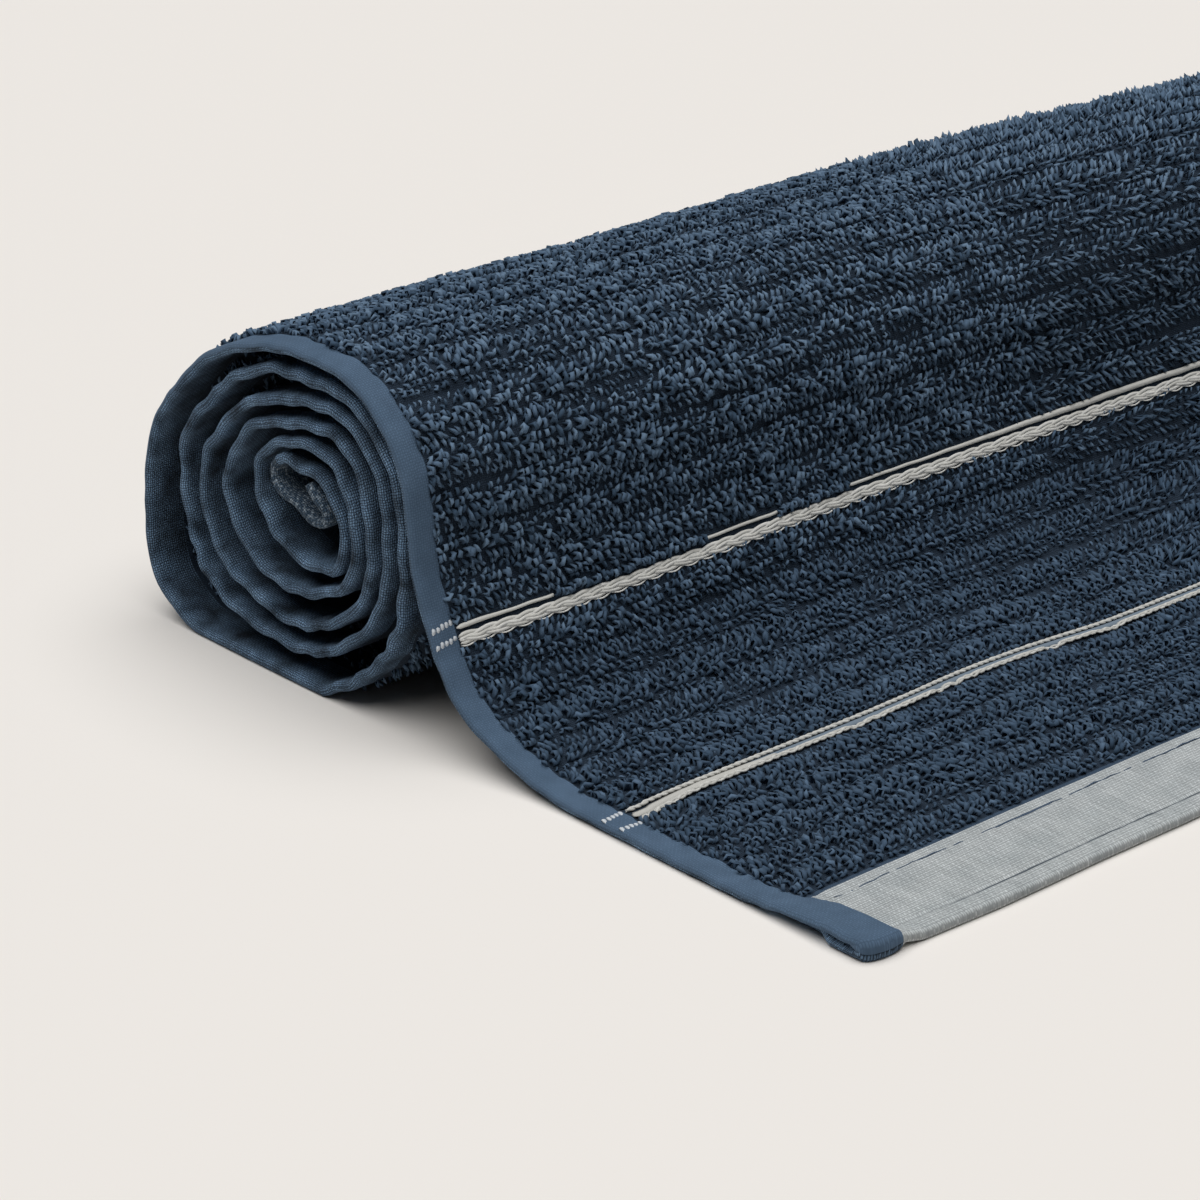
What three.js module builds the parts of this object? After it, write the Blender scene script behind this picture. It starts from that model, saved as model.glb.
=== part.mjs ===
// Rolled face towel: ribbed terry cloth wound into a loose roll, with its last stretch lying flat.
// Millimetres, +Z up. The roll's axis runs along Y, the towel unrolls towards +X, Z = 0 is the table.
import * as THREE from 'three';

// The cloth as it was woven and sewn
const WIDTH = 500;
const PILE_HEIGHT = 1.5;
const OPEN_PILE_HEIGHT = 2.8;
const RIB_PITCH = 8.6;
const GROOVE_DEPTH = 0.8;
const SIDE_HEM_WIDTH = 5.4;
const SIDE_HEM_THICKNESS = 2.6;
const CORNER_THICKNESS = 4;
const CORNER_LENGTH = 40;
const END_HEM_LENGTH = 20.5;
const END_HEM_THICKNESS = 2.2;
const HEM_EDGE_ROUNDING = 0.7;
const HEM_EDGE_THICKNESS = 1.3;
const PILE_STEP = 1.8;

// Flat stripes woven across the towel, by their distance along the cloth from the free end
const STRIPES = [
  { start: 67.6, width: 4.8 },
  { start: 124.2, width: 4.4 },
];

// The roll's centre, and the distance from it to the middle of the cloth: one row for each turn,
// from the outermost inwards, one column for each direction, in degrees from +X over the top
const CENTRE = { x: -108, z: 38 };
const DIRECTION_STEP = 30;
const TURNS = [
  { at0: 31.6, at30: 33.0, at60: 33.2, at90: 31.2, at120: 33.5, at150: 40.6,
    at180: 52.4, at210: 59.6, at240: 46.8, at270: 37.2, at300: 33.0, at330: 30.2 },
  { at0: 27.4, at30: 28.9, at60: 28.7, at90: 26.3, at120: 28.0, at150: 32.6,
    at180: 41.0, at210: 42.0, at240: 34.0, at270: 29.4, at300: 25.8, at330: 24.2 },
  { at0: 23.2, at30: 25.0, at60: 24.6, at90: 22.1, at120: 22.6, at150: 26.8,
    at180: 34.0, at210: 33.4, at240: 28.4, at270: 24.4, at300: 21.3, at330: 19.8 },
  { at0: 18.4, at30: 18.9, at60: 18.8, at90: 17.0, at120: 18.0, at150: 21.8,
    at180: 26.6, at210: 24.2, at240: 20.8, at270: 18.2, at300: 16.6, at330: 15.3 },
  { at0: 13.9, at30: 13.4, at60: 13.5, at90: 12.9, at120: 13.9, at150: 16.8,
    at180: 17.0, at210: 13.8, at240: 12.2, at270: 12.0, at300: 12.3, at330: 11.4 },
  { at0: 9.6, at30: 8.6, at60: 8.4, at90: 8.2 },
];

// The loose end, from its free edge to the roll: places of the middle of the cloth
const LOOSE_END = [
  { x: 47, z: 2.2 },
  { x: 40, z: 1.2 },
  { x: 29, z: 1.3 },
  { x: 8, z: 1.3 },
  { x: -14, z: 1.3 },
  { x: -31, z: 1.3 },
  { x: -41, z: 2.4 },
  { x: -50.5, z: 4.6 },
  { x: -59, z: 8.2 },
  { x: -65.5, z: 12.6 },
  { x: -70.2, z: 19.2 },
  { x: -73.4, z: 26.6 },
  { x: -75.6, z: 33.0 },
];

// The inner end, which doubles back twice as a flat hairpin in the middle of the roll
const HAIRPIN = [
  { x: -112.1, z: 46.2 },
  { x: -115.4, z: 45.7 },
  { x: -117.7, z: 44.0 },
  { x: -117.5, z: 41.8 },
  { x: -115.3, z: 39.9 },
  { x: -112.0, z: 38.2 },
  { x: -108.8, z: 36.9 },
  { x: -105.6, z: 35.9 },
  { x: -103.0, z: 36.2 },
  { x: -102.0, z: 38.0 },
  { x: -103.1, z: 40.0 },
  { x: -105.4, z: 41.8 },
  { x: -108.0, z: 43.0 },
];

// Cross-sections along the roll: how much it swells and drifts sideways, and how far the free
// edge runs out, which makes the roll and its edge as uneven as hand-rolled cloth
const SECTIONS = [
  { y: 0, pile: false, swell: 1.0, drift: 0.0, edge: -3.6 },
  { y: SIDE_HEM_WIDTH, pile: false, swell: 1.005, drift: 0.0, edge: -2.6 },
  { y: SIDE_HEM_WIDTH + PILE_STEP, pile: true, swell: 1.006, drift: 0.0, edge: -3.0 },
  { y: 60, pile: true, swell: 1.014, drift: 0.3, edge: -3.0 },
  { y: 190, pile: true, swell: 1.03, drift: -0.5, edge: -2.0 },
  { y: 330, pile: true, swell: 1.012, drift: 0.6, edge: -3.4 },
  { y: 430, pile: true, swell: 1.02, drift: -0.3, edge: -1.6 },
  { y: WIDTH - SIDE_HEM_WIDTH - PILE_STEP, pile: true, swell: 1.004, drift: -0.4, edge: -2.2 },
  { y: WIDTH - SIDE_HEM_WIDTH, pile: false, swell: 1.0, drift: -0.4, edge: -2.4 },
  { y: WIDTH, pile: false, swell: 0.995, drift: -0.4, edge: -3.3 },
];

// The side edges of the turns don't line up exactly: they step in and out by this much
const SIDE_DRIFT = 0.8;
const SIDE_DRIFT_LENGTH = 170;

// Where the loose end stops following the roll's sideways drift
const FOLLOWS_ROLL_FROM_X = -75;
const FOLLOWS_ROLL_TO_X = -30;

// Steps along the cloth, where no ribs show
const TURN_STEP = 6;
const CORE_STEP = 3.5;
const CORE_LENGTH = 110;
const HAIRPIN_STEP = 1.6;
const HAIRPIN_LENGTH = 42;
const RIBBED_TURN_SHARE = 0.5;
const PRESSED_LENGTH = 20;
const RIB_SHOULDER = 0.22;
const ARC_DIVISIONS = 3000;

const blend = (from, to, share) => from + (to - from) * share;

const ramp = (value, from, to) => THREE.MathUtils.smoothstep(value, from, to);

function turnPoints() {
  const points = [];
  TURNS.forEach((turn) => {
    Object.values(turn).forEach((radius, column) => {
      const angle = THREE.MathUtils.degToRad(column * DIRECTION_STEP);
      points.push({
        x: CENTRE.x + radius * Math.cos(angle),
        z: CENTRE.z + radius * Math.sin(angle),
      });
    });
  });
  return points;
}

// The middle of the cloth, from the free edge to the inner end
function clothLine() {
  const points = [...LOOSE_END, ...turnPoints(), ...HAIRPIN];
  const line = new THREE.SplineCurve(points.map((p) => new THREE.Vector2(p.x, p.z)));
  line.arcLengthDivisions = ARC_DIVISIONS;
  return line;
}

// Distances along the cloth at which a rib starts: they fill the stretches between the stripes
function ribStarts(ribbedLength) {
  const starts = [];
  let from = END_HEM_LENGTH + PILE_STEP;
  [...STRIPES, { start: ribbedLength, width: 0 }].forEach((stripe) => {
    const count = Math.round((stripe.start - from) / RIB_PITCH);
    const pitch = (stripe.start - from) / count;
    for (let rib = 0; rib < count; rib += 1) {
      starts.push({ at: from + rib * pitch, pitch });
    }
    from = stripe.start + stripe.width;
  });
  return starts;
}

// Distances along the cloth that get a row of points, with the depth of the outer face there
function rows(length, ribbedLength) {
  const list = [
    { at: 0, depth: 0 },
    { at: HEM_EDGE_ROUNDING, depth: 0 },
    { at: END_HEM_LENGTH * 0.5, depth: 0 },
    { at: END_HEM_LENGTH, depth: 0 },
  ];
  ribStarts(ribbedLength).forEach(({ at, pitch }) => {
    list.push({ at, depth: GROOVE_DEPTH });
    list.push({ at: at + RIB_SHOULDER * pitch, depth: 0 });
    list.push({ at: at + (1 - RIB_SHOULDER) * pitch, depth: 0 });
  });
  STRIPES.forEach(({ start }) => list.push({ at: start, depth: GROOVE_DEPTH }));
  const innerHem = length - END_HEM_LENGTH;
  let at = ribbedLength;
  while (at < innerHem - PILE_STEP - HAIRPIN_STEP) {
    list.push({ at, depth: 0 });
    at += turnStep(length - at);
  }
  list.push({ at: innerHem - PILE_STEP, depth: 0 });
  for (let hem = innerHem; hem < length - HAIRPIN_STEP; hem += HAIRPIN_STEP) {
    list.push({ at: hem, depth: 0 });
  }
  list.push({ at: length, depth: 0 });
  return list.sort((a, b) => a.at - b.at);
}

// The step between rows in the roll, finer towards the inner end, where the bends are tight
function turnStep(fromEnd) {
  if (fromEnd > CORE_LENGTH) {
    return TURN_STEP;
  }
  return fromEnd > HAIRPIN_LENGTH ? CORE_STEP : HAIRPIN_STEP;
}

// How far the cloth reaches from its middle to its outer and inner face
function reach(at, length, ribbedLength, pile) {
  if (at === 0 || at === length) {
    return { out: HEM_EDGE_THICKNESS / 2, in: HEM_EDGE_THICKNESS / 2 };
  }
  if (!pile) {
    const half = blend(CORNER_THICKNESS, SIDE_HEM_THICKNESS, ramp(at, 0, CORNER_LENGTH)) / 2;
    return { out: half, in: half };
  }
  if (at <= END_HEM_LENGTH || at >= length - END_HEM_LENGTH) {
    return { out: END_HEM_THICKNESS / 2, in: END_HEM_THICKNESS / 2 };
  }
  const open = 1 - ramp(at, ribbedLength - PRESSED_LENGTH, ribbedLength);
  return { out: blend(PILE_HEIGHT, OPEN_PILE_HEIGHT, open), in: PILE_HEIGHT };
}

// One closed sheet, swept along the cloth line through every section
function sheetGeometry() {
  const line = clothLine();
  const length = line.getLength();
  const looseLength = length * looseShare(line);
  const outerTurn = 2 * Math.PI * TURNS[0].at180;
  const ribbedLength = looseLength + outerTurn * RIBBED_TURN_SHARE;
  const rowList = rows(length, ribbedLength);
  const positions = [];
  rowList.forEach(({ at, depth }) => {
    const share = at / length;
    const middle = line.getPointAt(share);
    const along = line.getTangentAt(share);
    SECTIONS.forEach((section) => {
      const faces = reach(at, length, ribbedLength, section.pile);
      const out = faces.out - (section.pile ? depth : 0);
      const down = at < looseLength ? faces.in : faces.out;
      const place = placeInSection(middle, section, down, at);
      const side = sideEdge(section.y, at);
      positions.push(place.x + along.y * out, side, place.z - along.x * out);
      positions.push(place.x - along.y * faces.in, side, place.z + along.x * faces.in);
    });
  });
  return closedSheet(positions, rowList.length, SECTIONS.length);
}

// The share of the cloth line that the loose end takes
function looseShare(line) {
  const count = LOOSE_END.length;
  const knots = line.points.length - 1;
  const lengths = line.getLengths(ARC_DIVISIONS);
  const index = Math.round((ARC_DIVISIONS * count) / knots);
  return lengths[index] / lengths[ARC_DIVISIONS];
}

function placeInSection(middle, section, down, at) {
  const follow = 1 - ramp(middle.x, FOLLOWS_ROLL_FROM_X, FOLLOWS_ROLL_TO_X);
  const grow = (section.swell - 1) * follow;
  const runOut = section.edge * (1 - ramp(at, 0, STRIPES[0].start));
  const x = middle.x + (middle.x - CENTRE.x) * grow + section.drift * follow + runOut;
  const z = middle.y + middle.y * grow;
  return { x, z: Math.max(z, down) };
}

function sideEdge(y, at) {
  const stepIn = SIDE_DRIFT * 0.5 * (1 - Math.cos((2 * Math.PI * at) / SIDE_DRIFT_LENGTH));
  return blend(stepIn, WIDTH - stepIn, y / WIDTH);
}

// Faces of a closed sheet whose points come in pairs, outer then inner, section by section
function closedSheet(positions, rowCount, sectionCount) {
  const index = [];
  const outer = (row, section) => 2 * (row * sectionCount + section);
  const inner = (row, section) => outer(row, section) + 1;
  const quad = (a, b, c, d) => index.push(a, b, c, a, c, d);
  const lastRow = rowCount - 1;
  const lastSection = sectionCount - 1;
  for (let r = 0; r < lastRow; r += 1) {
    for (let s = 0; s < lastSection; s += 1) {
      quad(outer(r, s), outer(r, s + 1), outer(r + 1, s + 1), outer(r + 1, s));
      quad(inner(r, s), inner(r + 1, s), inner(r + 1, s + 1), inner(r, s + 1));
    }
    quad(outer(r, 0), outer(r + 1, 0), inner(r + 1, 0), inner(r, 0));
    quad(outer(r, lastSection), inner(r, lastSection),
      inner(r + 1, lastSection), outer(r + 1, lastSection));
  }
  for (let s = 0; s < lastSection; s += 1) {
    quad(outer(0, s), inner(0, s), inner(0, s + 1), outer(0, s + 1));
    quad(outer(lastRow, s), outer(lastRow, s + 1), inner(lastRow, s + 1), inner(lastRow, s));
  }
  const geometry = new THREE.BufferGeometry();
  geometry.setAttribute('position', new THREE.Float32BufferAttribute(positions, 3));
  geometry.setIndex(index);
  geometry.computeVertexNormals();
  return geometry;
}

// Puts the middle of the object's box over the origin
function centred(geometry) {
  geometry.computeBoundingBox();
  const { min, max } = geometry.boundingBox;
  geometry.translate(-(min.x + max.x) / 2, -(min.y + max.y) / 2, -min.z);
  return geometry;
}

const terry = new THREE.MeshStandardMaterial({
  name: 'terry_navy',
  color: 0x3a4b61,
  roughness: 0.95,
  metalness: 0,
});

const towel = new THREE.Mesh(centred(sheetGeometry()), terry);
towel.name = 'towel';

const part = new THREE.Group();
part.add(towel);

export default part;
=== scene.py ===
import math
from collections import namedtuple

import bpy
import numpy as np
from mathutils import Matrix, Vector


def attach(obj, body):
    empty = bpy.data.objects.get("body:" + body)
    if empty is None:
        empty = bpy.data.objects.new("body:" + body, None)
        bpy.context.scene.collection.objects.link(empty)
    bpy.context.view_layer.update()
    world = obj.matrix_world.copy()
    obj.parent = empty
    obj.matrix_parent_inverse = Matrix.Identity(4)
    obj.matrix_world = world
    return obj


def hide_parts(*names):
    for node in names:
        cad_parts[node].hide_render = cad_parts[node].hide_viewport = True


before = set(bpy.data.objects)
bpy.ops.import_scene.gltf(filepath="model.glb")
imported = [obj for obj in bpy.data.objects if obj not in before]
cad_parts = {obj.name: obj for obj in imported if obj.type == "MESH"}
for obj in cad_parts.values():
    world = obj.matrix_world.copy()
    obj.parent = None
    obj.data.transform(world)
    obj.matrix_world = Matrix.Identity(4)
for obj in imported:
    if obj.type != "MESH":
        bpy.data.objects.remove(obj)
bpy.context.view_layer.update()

# Lengths are in millimetres in the cloth's own layout, whose free edge is near x = 47 and whose near
# side edge is y = 0; row_frame() turns them into metres in the frame that the model shares. s is the
# length along the cloth from its free edge
MM = 0.001
SHIFT_X = 61.151
WIDTH = 500.0

# The band along the free edge with its stitch line, and the end of the flat strip behind it. Here
# and below, a half is a half thickness without the loops
END_HEM_LENGTH = 22.9
END_HEM_HALF = 1.1
STITCH_S = 4.6
STITCH_DEPTH = 0.4
FLAT_STRIP_END = 24.1
FLAT_HALF = 0.85
EDGE_DROOP = 1.0

# The side hems are wider on the inner face, where their fold lies, and thicker towards the corners
HEM_FOLD_WIDTH = 9.0
HEM_FACE_WIDTH = 5.4
SIDE_HEM_HALF = 1.1
SEAM_DEPTH = 0.12
CORNER_HALF = 2.0
CORNER_LENGTH = 40.0
CORNER_SLIT = 2.4
LOWER_LIP = 2.2
EDGE_ROUNDING = 1.1

# The ribs and stripes, how far the loops reach from the middle of the cloth, open and pressed, and
# where the ground under them lies: on a crest, in a groove, on a stripe and on the inner face
RIB_PITCH = 8.6
STRIPES = [
    {"start": 67.6, "width": 4.8},
    {"start": 124.2, "width": 4.4},
]
PILE_FACE = 2.8
PRESSED_FACE = 1.5
GROUND_CREST = 1.15
GROUND_GROOVE = 0.1
GROUND_FLAT = 1.1
GROUND_IN = 1.0

# The roll's centre, and the distance from it to the middle of the cloth every 30 degrees from +X
# over the top, turn by turn
CENTRE = (-108.0, 38.0)
TURNS = [
    [31.6, 33.0, 33.2, 31.2, 33.5, 40.6, 52.4, 59.6, 46.8, 37.2, 33.0, 30.2],
    [27.4, 28.9, 28.7, 26.3, 28.0, 32.6, 41.0, 42.0, 34.0, 29.4, 25.8, 24.2],
    [23.2, 25.0, 24.6, 22.1, 22.6, 26.8, 34.0, 33.4, 28.4, 24.4, 21.3, 19.8],
    [18.4, 18.9, 18.8, 17.0, 18.0, 21.8, 26.6, 24.2, 20.8, 18.2, 16.6, 15.3],
    [13.9, 13.4, 13.5, 12.9, 13.9, 16.8, 17.0, 13.8, 12.2, 12.0, 12.3, 11.4],
    [9.6, 8.6, 8.4, 8.2],
]

# The middle of the cloth in its loose end, from the free edge to the roll, and in the fold at the
# roll's core
LOOSE_END = [
    (47, 2.2), (40, 1.2), (29, 1.3), (8, 1.3), (-14, 1.3), (-31, 1.3), (-41, 2.4),
    (-50.5, 4.6), (-59, 8.2), (-65.5, 12.6), (-70.2, 19.2), (-73.4, 26.6), (-75.6, 33.0),
]
HAIRPIN = [
    (-112.1, 46.2), (-115.4, 45.7), (-117.7, 44.0), (-117.5, 41.8), (-115.3, 39.9), (-112.0, 38.2),
    (-108.8, 36.9), (-105.6, 35.9), (-103.0, 36.2), (-102.0, 38.0), (-103.1, 40.0), (-105.4, 41.8),
    (-108.0, 43.0),
]

# Places along the roll, with how much it swells and drifts sideways there, and how far the free
# edge runs out, or stands back where that is below zero
SECTION_Y = [0.0, 5.4, 7.2, 60.0, 190.0, 330.0, 430.0, 492.8, 494.6, 500.0]
SECTION_SWELL = [1.0, 1.005, 1.006, 1.014, 1.03, 1.012, 1.02, 1.004, 1.0, 0.995]
SECTION_DRIFT = [0.0, 0.0, 0.0, 0.3, -0.5, 0.6, -0.3, -0.4, -0.4, -0.4]
SECTION_EDGE = [-3.6, -2.6, -3.0, -3.0, -2.0, -3.4, -1.6, -2.2, -2.4, -3.3]

# Along its length the cloth draws in by this much at both side edges and comes out again
SIDE_DRIFT = 0.8
SIDE_DRIFT_LENGTH = 170.0

# The swell and the sideways drift of the roll die out over this stretch of x, towards the loose end
ROLL_SIDE_X = (-75.0, -30.0)


def ramp(value, start, end):
    """A smooth step from 0 at start to 1 at end, which may be the lower of the two."""
    share = np.clip((np.asarray(value, float) - start) / (end - start), 0, 1)
    return share * share * (3 - 2 * share)


def bell(value, middle, width):
    return np.exp(-(((value - middle) / width) ** 2))


def catmull_rom(points, count):
    """A smooth curve through the points, as count places."""
    points = np.asarray(points, float)
    padded = np.vstack([points[:1], points, points[-1:]])
    knots = len(points) - 1
    u = np.linspace(0, knots, count)
    i = np.minimum(u.astype(int), knots - 1)
    t = (u - i)[:, None]
    p0, p1, p2, p3 = (padded[i + k] for k in range(4))
    v0 = (p2 - p0) / 2
    v1 = (p3 - p1) / 2
    return (2 * p1 - 2 * p2 + v0 + v1) * t**3 + (3 * p2 - 3 * p1 - 2 * v0 - v1) * t**2 + v0 * t + p1


def turn_points():
    points = []
    for turn in TURNS:
        for column, radius in enumerate(turn):
            angle = math.radians(30 * column)
            points.append((CENTRE[0] + radius * math.cos(angle), CENTRE[1] + radius * math.sin(angle)))
    return points


# The line through the middle of the cloth, and the places on it where the loose end starts to
# rise, where the roll's first turn begins and where the ribs end
LINE_SAMPLES = 24001
LINE_POINTS = LOOSE_END + turn_points() + HAIRPIN
LINE = catmull_rom(LINE_POINTS, LINE_SAMPLES)
LINE_S = np.concatenate([[0], np.cumsum(np.hypot(*np.diff(LINE, axis=0).T))])
LENGTH = LINE_S[-1]
LOOSE_LENGTH = LINE_S[(LINE_SAMPLES - 1) * len(LOOSE_END) // (len(LINE_POINTS) - 1)]
LIFT_OFF = LOOSE_LENGTH - 60
RIBBED_LENGTH = LOOSE_LENGTH + math.pi * TURNS[0][6]
TANGENT = np.gradient(LINE, LINE_S, axis=0)
TANGENT /= np.hypot(TANGENT[:, 0], TANGENT[:, 1])[:, None]


def line_at(s):
    """Place and direction of the middle of the cloth, each as x and z."""
    place = [np.interp(s, LINE_S, LINE[:, axis]) for axis in (0, 1)]
    direction = [np.interp(s, LINE_S, TANGENT[:, axis]) for axis in (0, 1)]
    return (*place, *direction)


def value_noise(x, y, seed):
    """Smooth noise from about -1 to 1, one random value for each whole x and y, repeated every 64."""
    size = 64
    table = np.random.default_rng(seed).uniform(-1, 1, (size, size))
    x, y = np.broadcast_arrays(np.asarray(x, float), np.asarray(y, float))
    i, j = np.floor(x).astype(int), np.floor(y).astype(int)
    u, v = ramp(x - i, 0, 1), ramp(y - j, 0, 1)
    a, b, c, d = (table[(i + di) % size, (j + dj) % size] for dj in (0, 1) for di in (0, 1))
    return (a * (1 - u) + b * u) * (1 - v) + (c * (1 - u) + d * u) * v


ROOM_STEP = 2.0


def free_room(side):
    """Room between the cloth and the next turn, step by step along it: side 1 outwards, -1 inwards."""
    at = np.arange(0, LENGTH, ROOM_STEP)
    x, z, tx, tz = line_at(at)
    dx, dz = x[None] - x[:, None], z[None] - z[:, None]
    distance = np.hypot(dx, dz)
    facing = (dx * tz[:, None] - dz * tx[:, None]) * side
    other = (np.abs(at[None] - at[:, None]) > 25) & (facing > 0.7 * distance)
    return at, np.where(other, distance, 99).min(axis=1) - 2 * SIDE_HEM_HALF


def wave_limits():
    """How far the side hems may wave, from the least room to either side, averaged over 13 steps."""
    at, outwards = free_room(1)
    _, inwards = free_room(-1)
    room = np.pad(np.minimum(outwards, inwards), 6, mode="edge")
    room = np.convolve(room, np.ones(13) / 13, mode="valid")
    return at, np.clip(0.42 * room, 0.12, 1.5)


WAVE_S, WAVE_LIMIT = wave_limits()


def ripple(s, seed):
    """Puckers about 9 mm apart, of uneven size."""
    phase = 2 * math.pi * s / 9.0 + 3.5 * value_noise(s / 14.0, 0.5, seed)
    return np.sin(phase) * (0.3 + 0.7 * np.abs(value_noise(s / 9.0, 4.5, seed)))


def hem_wave(s, y):
    """Sideways waves of the side hems, which die out a few centimetres into the towel. They are
    slight on the loose end and gentle on the outermost turn."""
    limit = np.interp(s, WAVE_S, WAVE_LIMIT)
    rolled = ramp(s, LIFT_OFF, LOOSE_LENGTH)
    outermost = 1 - 0.65 * ramp(s, RIBBED_LENGTH + 30, RIBBED_LENGTH) * rolled
    wave = 0.0
    for distance, row, seed in ((y, 0.5, 11), (WIDTH - y, 7.5, 13)):
        slow = value_noise(s / 11.0, row, seed)
        quick = 0.5 * ripple(s, seed + 1) * np.exp(-distance / 11.0)
        wave = wave + (slow + quick) * bell(distance, 0, 17.0)
    return limit * (0.15 + 0.85 * rolled) * outermost * wave


def smooth_sections(y, values):
    """The values at the places SECTION_Y, passed smoothly from one to the next."""
    share = np.interp(y, SECTION_Y, np.arange(len(SECTION_Y)))
    i = np.minimum(share.astype(int), len(SECTION_Y) - 2)
    t = share - i
    t = t * t * (3 - 2 * t)
    values = np.asarray(values)
    return values[i] * (1 - t) + values[i + 1] * t


def bow(s, y):
    """The stripes and ribs run a little crooked across the towel."""
    upper = 1.65 * ramp(y, 15, 125)
    lower = 1.3 * bell(y, 100, 22.0) - 1.3 * ramp(y, 115, 140)
    window = ramp(s, 26, 60) * (1 - ramp(s, 150, 200)) * (1 - ramp(y, 260, 420))
    return window * (lower + (upper - lower) * ramp(s, 84, 112))


def surface(s, y, out, down, run_out=0.0):
    """Points at distance out from the middle of the cloth, and the cloth's directions there. Its
    middle lies no lower than down, and run_out moves the points along x."""
    s, y, out, down = np.broadcast_arrays(*(np.asarray(v, float) for v in (s, y, out, down)))
    s = s + bow(s, y)
    x, z, tx, tz = line_at(s)
    follow = 1 - ramp(x, *ROLL_SIDE_X)
    grow = (smooth_sections(y, SECTION_SWELL) - 1) * follow
    wave = hem_wave(s, y)
    free = 1 - ramp(s, 0, STRIPES[0]["start"])
    x = x + (x - CENTRE[0]) * grow + smooth_sections(y, SECTION_DRIFT) * follow
    x = x + smooth_sections(y, SECTION_EDGE) * free + run_out
    z = z + z * grow - EDGE_DROOP * (1 - ramp(s, 0, 9)) * ramp(side_distance(y), 9, 15)
    x, z = x + tz * wave, z - tx * wave
    z = np.maximum(z, down)
    step_in = SIDE_DRIFT * 0.5 * (1 - np.cos(2 * math.pi * s / SIDE_DRIFT_LENGTH))
    side = step_in + (WIDTH - 2 * step_in) * y / WIDTH
    point = np.stack([x + tz * out, side, z - tx * out], axis=-1)
    along = np.stack([tx, np.zeros_like(tx), tz], axis=-1)
    normal = np.stack([tz, np.zeros_like(tx), -tx], axis=-1)
    return point, along, normal


def row_frame(points):
    return (points + np.array([SHIFT_X, -WIDTH / 2, 0.0])) * MM


def rib_starts():
    """Where each rib starts and how wide it is: the ribs fill the lengths between the stripes."""
    starts = []
    begin = FLAT_STRIP_END - 0.3
    for stripe in STRIPES + [{"start": RIBBED_LENGTH, "width": 0.0}]:
        count = round((stripe["start"] - begin) / RIB_PITCH)
        pitch = (stripe["start"] - begin) / count
        starts += [(begin + rib * pitch, pitch) for rib in range(count)]
        begin = stripe["start"] + stripe["width"]
    return starts


RIBS = rib_starts()
RIB_AT = np.array([at for at, _ in RIBS])
RIB_WIDTH = np.array([pitch for _, pitch in RIBS])


def rib_crest(s):
    """1 on the crest of a rib, 0 in the grooves, and -1 on the stripes and where there are no ribs."""
    rib = np.clip(np.searchsorted(RIB_AT, s, side="right") - 1, 0, len(RIBS) - 1)
    share = (s - RIB_AT[rib]) / RIB_WIDTH[rib]
    crest = np.sqrt(np.clip(np.sin(math.pi * np.clip(share, 0, 1)), 0, 1))
    return np.where((share < 0) | (share > 1), -1.0, crest)


def side_distance(y):
    return np.minimum(y, WIDTH - y)


def edge_rounding(distance, radius):
    """Share of the full thickness at a distance from an edge that is rounded with a radius."""
    share = np.clip(1 - distance / radius, 0, 1)
    return np.sqrt(np.clip(1 - share * share, 0, 1))


def hem_width(s, outer=True):
    """How much of a face the side hem takes: all of its fold on the inner face and at the corner, and
    less of the outer face elsewhere."""
    face = HEM_FOLD_WIDTH - (HEM_FOLD_WIDTH - HEM_FACE_WIDTH) * ramp(s, 14, 30)
    return face if outer else np.full_like(face, HEM_FOLD_WIDTH)


def half_thickness(s, y, outer):
    """From the middle of the cloth to its ground, without the loops."""
    width = hem_width(s, outer)
    hem = SIDE_HEM_HALF + (CORNER_HALF - SIDE_HEM_HALF) * (1 - ramp(s, 4, CORNER_LENGTH))
    hem = hem - SEAM_DEPTH * bell(side_distance(y) - width, -1.0, 0.6)
    hem = hem * (1 + 0.09 * value_noise(s / 5.0, y / 3.5, 21))
    ground = GROUND_IN
    if outer:
        crest = rib_crest(s)
        ground = GROUND_GROOVE + (GROUND_CREST - GROUND_GROOVE) * np.clip(crest, 0, 1)
        ground = np.where(crest < 0, GROUND_FLAT, ground)
    band = END_HEM_HALF - STITCH_DEPTH * bell(s, STITCH_S, 0.6)
    band = band + 0.08 * value_noise(s / 7.0, y / 5.0, 22)
    from_end = np.minimum(s, LENGTH - s)
    body = np.where(from_end < END_HEM_LENGTH, band, FLAT_HALF)
    body = body + (ground - FLAT_HALF) * ramp(from_end, FLAT_STRIP_END - 0.6, FLAT_STRIP_END + 0.6)
    inside = ramp(side_distance(y), width - 0.5, width + 0.5)
    return hem + (body - hem) * inside


def down_reach(s, y):
    """How far the cloth reaches below its middle where it lies on the floor."""
    width = np.where(s < LOOSE_LENGTH, HEM_FOLD_WIDTH, HEM_FACE_WIDTH)
    pile = ramp(side_distance(y), width, width + 1.8)
    opening = 1 - ramp(s, RIBBED_LENGTH - 20, RIBBED_LENGTH)
    open_pile = PRESSED_FACE + (PILE_FACE - PRESSED_FACE) * opening
    hem = np.maximum(half_thickness(s, y, True), half_thickness(s, y, False))
    hem = np.maximum(hem, SIDE_HEM_HALF)
    under = np.where(s < LOOSE_LENGTH, PRESSED_FACE, open_pile)
    return hem + (np.where(s < END_HEM_LENGTH, END_HEM_HALF, under) - hem) * pile


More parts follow.
